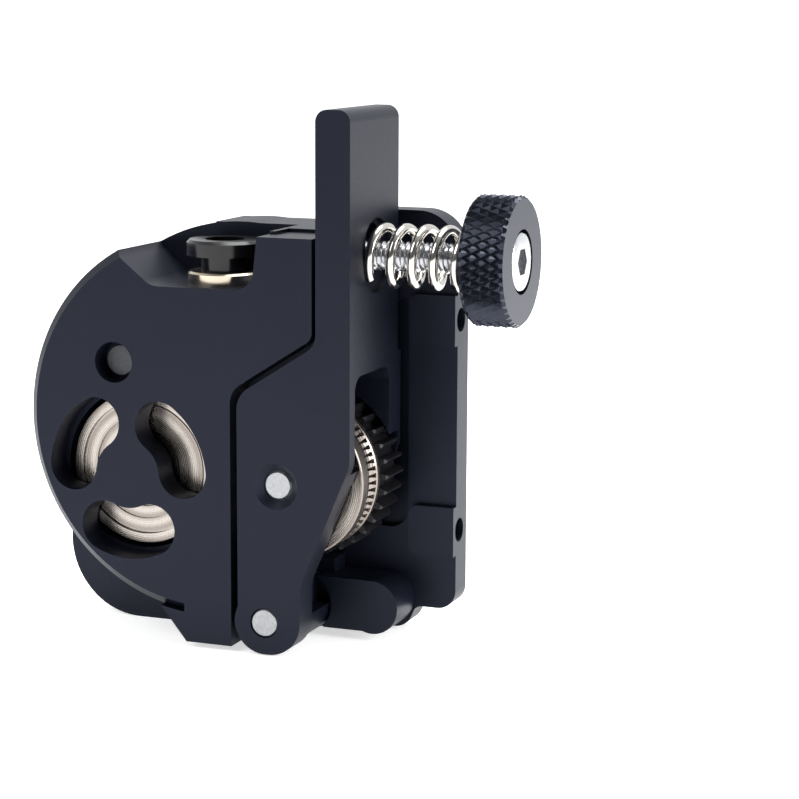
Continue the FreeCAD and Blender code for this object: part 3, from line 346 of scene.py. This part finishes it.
def pale_floor():
    """Seamless white paper lit from behind, as on a light table, with a slight tooth."""
    material, shader = new_finish("seamless paper", "#f6f6f6", 0.9)
    where = place(material)
    fibre = grain(material, where, 1.0 * MM)
    feed(material, tint(material, fibre, "#f3f3f3", "#f9f9f9"), shader, "Base Color")
    shader.inputs["Emission Color"].default_value = linear("#ffffff")
    shader.inputs["Emission Strength"].default_value = FLOOR_GLOW
    return material


def middle(node):
    low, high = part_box(node)
    return (low + high) / 2


def paint(material, *nodes):
    """Puts one finish in every slot of the CAD nodes."""
    for name in nodes:
        for material_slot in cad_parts[name].material_slots:
            material_slot.material = material


# ---- modelling helpers ----
def start_fresh():
    if bpy.context.object and bpy.context.object.mode != "OBJECT":
        bpy.ops.object.mode_set(mode="OBJECT")
    bpy.ops.object.select_all(action="DESELECT")


def start_cylinder(name, sides, radius, left, right, axis_point):
    """A cylinder lying along X between two places, open for edit, with nothing selected."""
    start_fresh()
    centre = Vector(((left + right) / 2, axis_point.y, axis_point.z))
    bpy.ops.mesh.primitive_cylinder_add(
        vertices=sides,
        radius=radius,
        depth=right - left,
        location=centre,
        rotation=(0, math.pi / 2, 0),
    )
    piece = bpy.context.object
    piece.name = name
    piece.data.name = name
    bpy.ops.object.transform_apply(location=True, rotation=True, scale=True)
    bpy.ops.object.mode_set(mode="EDIT")
    bpy.ops.mesh.select_all(action="DESELECT")
    return piece


def pick(piece, kind, test):
    """Selects only the verts, edges or faces that pass the test."""
    shape = bmesh.from_edit_mesh(piece.data)
    mode = {"verts": "VERT", "edges": "EDGE", "faces": "FACE"}[kind]
    bpy.ops.mesh.select_mode(type=mode)
    bpy.ops.mesh.select_all(action="DESELECT")
    shape = bmesh.from_edit_mesh(piece.data)
    for element in getattr(shape, kind):
        if test(element):
            element.select_set(True)
    shape.select_flush_mode()
    bmesh.update_edit_mesh(piece.data)


def end_face(x):
    """A test for a face that closes a turned piece at one place on X."""
    return lambda face: abs(face.calc_center_median().x - x) < 1e-6 and abs(face.normal.x) > 0.99


def off_axis(axis_point, point):
    """How far a point is from a line along X."""
    return math.hypot(point.y - axis_point.y, point.z - axis_point.z)


def cut_away(piece, cutter):
    """Takes one closed piece out of another and drops the cutter."""
    start_fresh()
    bpy.context.view_layer.objects.active = piece
    piece.select_set(True)
    change = piece.modifiers.new("cut", "BOOLEAN")
    change.operation = "DIFFERENCE"
    change.solver = "EXACT"
    change.object = cutter
    bpy.ops.object.modifier_apply(modifier=change.name)
    bpy.data.objects.remove(cutter)


def wind(piece, length, turns, steps_per_turn, left_hand=False):
    """Sweeps the piece's outline round its own X axis as a helix, then closes both ends."""
    start_fresh()
    bpy.context.view_layer.objects.active = piece
    piece.select_set(True)
    sweep = piece.modifiers.new("wind", "SCREW")
    sweep.axis = "X"
    sweep.angle = 2 * math.pi * turns * (-1 if left_hand else 1)
    sweep.screw_offset = length
    sweep.steps = round(turns * steps_per_turn)
    sweep.render_steps = sweep.steps
    sweep.use_merge_vertices = True
    sweep.merge_threshold = 1e-6
    bpy.ops.object.modifier_apply(modifier=sweep.name)
    bpy.ops.object.mode_set(mode="EDIT")
    bpy.ops.mesh.select_all(action="SELECT")
    bpy.ops.mesh.remove_doubles(threshold=1e-6)
    bpy.ops.mesh.select_all(action="SELECT")
    bpy.ops.mesh.fill_holes(sides=0)


def settle(piece):
    """Moves a piece's place into its mesh, so that its object sits at the origin."""
    start_fresh()
    bpy.context.view_layer.objects.active = piece
    piece.select_set(True)
    bpy.ops.object.transform_apply(location=True, rotation=True, scale=True)


def close_piece(piece, smooth_angle=30):
    """Leaves edit mode with outward faces, and soft shading that keeps real edges."""
    bpy.ops.mesh.select_all(action="SELECT")
    bpy.ops.mesh.normals_make_consistent(inside=False)
    bpy.ops.object.mode_set(mode="OBJECT")
    start_fresh()
    piece.select_set(True)
    bpy.context.view_layer.objects.active = piece
    bpy.ops.object.shade_smooth_by_angle(angle=math.radians(smooth_angle))
    return piece


# ---- pieces ----
def knurled_knob(rim_finish, face_finish):
    """The thumb knob: raised diamonds round its rim and a counterbore for the screw's head."""
    low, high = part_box("thumb_knob")
    head_low, head_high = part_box("tension_screw")
    axis = (low + high) / 2
    radius = (high.z - low.z) / 2
    knob = start_cylinder("knurled_knob", 2 * KNURL_COUNT, radius, low.x, high.x, axis)
    # chamfer the two rims
    pick(knob, "edges", lambda e: abs(e.verts[0].co.x - e.verts[1].co.x) < 1e-7)
    bpy.ops.mesh.bevel(offset=KNOB_EDGE, segments=1, affect="EDGES")
    # rings of points across the rim, then every other point is pressed in
    pick(knob, "edges", lambda e: abs(e.verts[0].co.x - e.verts[1].co.x) > 3 * KNOB_EDGE)
    bpy.ops.mesh.subdivide(number_cuts=2 * KNURL_ROWS - 1)
    span_low, span_high = low.x + KNOB_EDGE, high.x - KNOB_EDGE
    row = (span_high - span_low) / (2 * KNURL_ROWS)
    step = math.pi / KNURL_COUNT

    def in_valley(vert):
        if off_axis(axis, vert.co) < radius - 1e-6:
            return False
        turn = round(math.atan2(vert.co.y - axis.y, vert.co.z - axis.z) / step)
        along = round((vert.co.x - span_low) / row)
        return (turn + along) % 2 == 0

    pick(knob, "verts", in_valley)
    sink = (radius - KNURL_DEPTH) / radius
    bpy.ops.transform.resize(value=(1, sink, sink), center_override=axis)
    pick(knob, "faces", lambda f: span_low < f.calc_center_median().x < span_high)
    bpy.ops.mesh.quads_convert_to_tris(quad_method="SHORTEST_DIAGONAL")
    # counterbore for the head, then the hole that the screw passes through
    bore = (head_high.z - head_low.z) / 2 + KNOB_HOLE_GAP
    hole = THREAD_RADIUS + THREAD_GAP
    pick(knob, "faces", end_face(high.x))
    bpy.ops.mesh.inset(thickness=radius - KNOB_EDGE - bore)
    deeper = {"value": (-HEAD_HEIGHT, 0, 0)}
    bpy.ops.mesh.extrude_region_move(TRANSFORM_OT_translate=deeper)
    bpy.ops.mesh.inset(thickness=bore - hole)
    pick(knob, "faces", end_face(low.x))
    bpy.ops.mesh.inset(thickness=radius - KNOB_EDGE - hole)
    floor_x = high.x - HEAD_HEIGHT
    caps = (end_face(floor_x), end_face(low.x))
    small = lambda f: all(off_axis(axis, v.co) < hole + 1e-6 for v in f.verts)
    pick(knob, "faces", lambda f: small(f) and any(test(f) for test in caps))
    bpy.ops.mesh.bridge_edge_loops()
    close_piece(knob, 20)
    knob.data.materials.append(rim_finish)
    knob.data.materials.append(face_finish)
    for face in knob.data.polygons:
        if abs(face.normal.x) > 0.9:
            face.material_index = 1
    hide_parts("thumb_knob")
    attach(knob, "knob")
    return knob


def threaded_rod(left, right, axis):
    """A rod with a real helical thread, wound from one tooth's outline."""
    start_fresh()
    bpy.ops.mesh.primitive_circle_add(vertices=4, radius=THREAD_PITCH / 2, fill_type="NOTHING")
    rod = bpy.context.object
    rod.name = "threaded_rod"
    bpy.ops.object.mode_set(mode="EDIT")
    # the square's near corner goes, which leaves root, crest and root
    pick(rod, "verts", lambda v: v.co.y < -THREAD_PITCH / 4)
    bpy.ops.mesh.delete(type="VERT")
    pick(rod, "verts", lambda v: True)
    flatten = THREAD_DEPTH / (THREAD_PITCH / 2)
    bpy.ops.transform.resize(value=(1, flatten, 1), center_override=(0, 0, 0))
    bpy.ops.transform.translate(value=(0, THREAD_RADIUS - THREAD_DEPTH, 0))
    bpy.ops.object.mode_set(mode="OBJECT")
    wind(rod, right - left, (right - left) / THREAD_PITCH, THREAD_STEPS)
    close_piece(rod, 25)
    rod.location = (left, axis.y, axis.z)
    settle(rod)
    return rod


def socket_screw(finish):
    """The tension screw: a threaded shank, and a cylinder head with a hexagon socket."""
    low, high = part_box("tension_screw")
    axis = (low + high) / 2
    head_radius = (high.z - low.z) / 2
    head_left = high.x - HEAD_HEIGHT
    head = start_cylinder("socket_screw", 64, head_radius, head_left, high.x, axis)
    pick(head, "edges", lambda e: min(v.co.x for v in e.verts) > high.x - 1e-6)
    bpy.ops.mesh.bevel(offset=HEAD_CHAMFER, segments=3, affect="EDGES")
    close_piece(head)
    corner = HEX_ACROSS_FLATS / 2 / math.cos(math.radians(30))
    cutter = start_cylinder("hexagon", 6, corner, high.x - HEX_DEPTH, high.x + HEX_DEPTH, axis)
    bpy.ops.object.mode_set(mode="OBJECT")
    cut_away(head, cutter)
    rod = threaded_rod(low.x + THREAD_PITCH, head_left, axis)
    start_fresh()
    rod.select_set(True)
    head.select_set(True)
    bpy.context.view_layer.objects.active = head
    bpy.ops.object.join()
    bpy.ops.object.shade_smooth_by_angle(angle=math.radians(25))
    head.data.materials.append(finish)
    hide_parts("tension_screw")
    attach(head, "knob")
    return head


def coil_spring(finish):
    """The tension spring: a left-hand open coil of round wire between lever and washer."""
    low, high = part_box("tension_spring")
    axis = (low + high) / 2
    coil_radius = (high.z - low.z) / 2 - SPRING_WIRE / 2
    left, right = low.x + SPRING_WIRE / 2, high.x - SPRING_WIRE / 2
    start_fresh()
    bpy.ops.mesh.primitive_circle_add(
        vertices=WIRE_SIDES, radius=SPRING_WIRE / 2, fill_type="NOTHING"
    )
    spring = bpy.context.object
    spring.name = "coil_spring"
    bpy.ops.object.mode_set(mode="EDIT")
    bpy.ops.mesh.select_all(action="SELECT")
    bpy.ops.transform.translate(value=(0, coil_radius, 0))
    bpy.ops.object.mode_set(mode="OBJECT")
    wind(spring, right - left, SPRING_TURNS, SPRING_STEPS, left_hand=True)
    close_piece(spring, 50)
    spring.location = (left, axis.y, axis.z)
    spring.rotation_euler = (SPRING_START, 0, 0)
    settle(spring)
    spring.data.materials.append(finish)
    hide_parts("tension_spring")
    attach(spring, "spring_seat")
    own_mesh(spring)
    return spring


# ---- studio ----
def set_camera():
    camera = bpy.data.objects.new("camera", bpy.data.cameras.new("camera"))
    bpy.context.scene.collection.objects.link(camera)
    camera.data.sensor_width = SENSOR_WIDTH
    camera.data.lens = CAMERA_LENS
    camera.data.clip_start = 0.01
    turn = Matrix.Rotation(CAMERA_AZIMUTH, 4, "Z")
    tilt = Matrix.Rotation(math.pi / 2 - CAMERA_ELEVATION, 4, "X")
    roll = Matrix.Rotation(CAMERA_ROLL, 4, "Z")
    camera.matrix_world = Matrix.Translation(CAMERA_AT) @ turn @ tilt @ roll
    bpy.context.scene.camera = camera


def softbox(name, at, aim, size, watts, colour="#ffffff"):
    """A square diffused lamp, aimed at a point."""
    light = bpy.data.lights.new(name, "AREA")
    light.shape = "SQUARE"
    light.size = size
    light.energy = watts
    light.color = linear(colour)[:3]
    lamp = bpy.data.objects.new(name, light)
    bpy.context.scene.collection.objects.link(lamp)
    lamp.location = at
    lamp.rotation_euler = (Vector(aim) - Vector(at)).to_track_quat("-Z", "Y").to_euler()
    return lamp


def set_room():
    """White paper under the part, a pale room and three softboxes."""
    low, high = cad_box
    centre = (low + high) / 2
    start_fresh()
    bpy.ops.mesh.primitive_plane_add(size=FLOOR_SIZE, location=(centre.x, centre.y, low.z))
    floor = bpy.context.object
    floor.name = "floor"
    settle(floor)
    floor.data.materials.append(pale_floor())
    world = bpy.data.worlds.new("pale room")
    world.use_nodes = True
    background = world.node_tree.nodes["Background"]
    background.inputs["Color"].default_value = linear(ROOM_COLOUR)
    where = add(world, "ShaderNodeTexCoord").outputs["Generated"]
    parts = add(world, "ShaderNodeSeparateXYZ", {"Vector": where})
    to_back = {
        "Value": parts.outputs["Y"],
        "From Min": -0.7,
        "From Max": 0.5,
        "To Min": ROOM_DIM,
        "To Max": ROOM_BRIGHT,
    }
    strength = add(world, "ShaderNodeMapRange", to_back).outputs["Result"]
    world.node_tree.links.new(strength, background.inputs["Strength"])
    bpy.context.scene.world = world
    softbox("key", centre + Vector((-0.22, -0.30, 0.30)), centre, 0.25, 1.1)
    softbox("side", centre + Vector((0.40, -0.05, 0.12)), centre, 0.22, 1.6)
    softbox("top", centre + Vector((0.02, 0.10, 0.40)), centre, 0.30, 2.2)
    scene = bpy.context.scene
    scene.view_settings.view_transform = "Standard"


# ---- put it together ----
anodised = blasted_black_anodise()
paint(anodised, "main_housing", "front_cover", "tension_lever")
pin_steel = ground_pin_steel()
paint(pin_steel, "pivot_pin", "idler_pin", "drive_wheel_pins", "idler_wheel_pins", "drive_shaft")
paint(dull_dowel_steel(), "locating_dowel")
screw_steel = nickel_screw()
paint(screw_steel, "cover_screws", "spring_washer")
paint(sintered_bronze(), "front_bush")
race_steel = bearing_steel()
paint(race_steel, "rear_bearing_outer", "rear_bearing_inner", "rear_bearing_balls")
paint(race_steel, "idler_bearing_cup", "idler_needles")
paint(turned_steel(middle("drive_hob_wheel")), "drive_hob_wheel")
paint(turned_steel(middle("idler_hob_wheel")), "idler_hob_wheel")
paint(black_oxide_gear(), "drive_gear", "idler_gear")
paint(warm_nickel(middle("coupler_ring")), "coupler_ring")
paint(glossy_acetal(), "release_collet")
paint(milky_ptfe(), "filament_guide")

knurled_knob(knurled_black_anodise(), turned_black_anodise(middle("thumb_knob")))
socket_screw(screw_steel)
coil_spring(nickel_spring())

set_camera()
set_room()
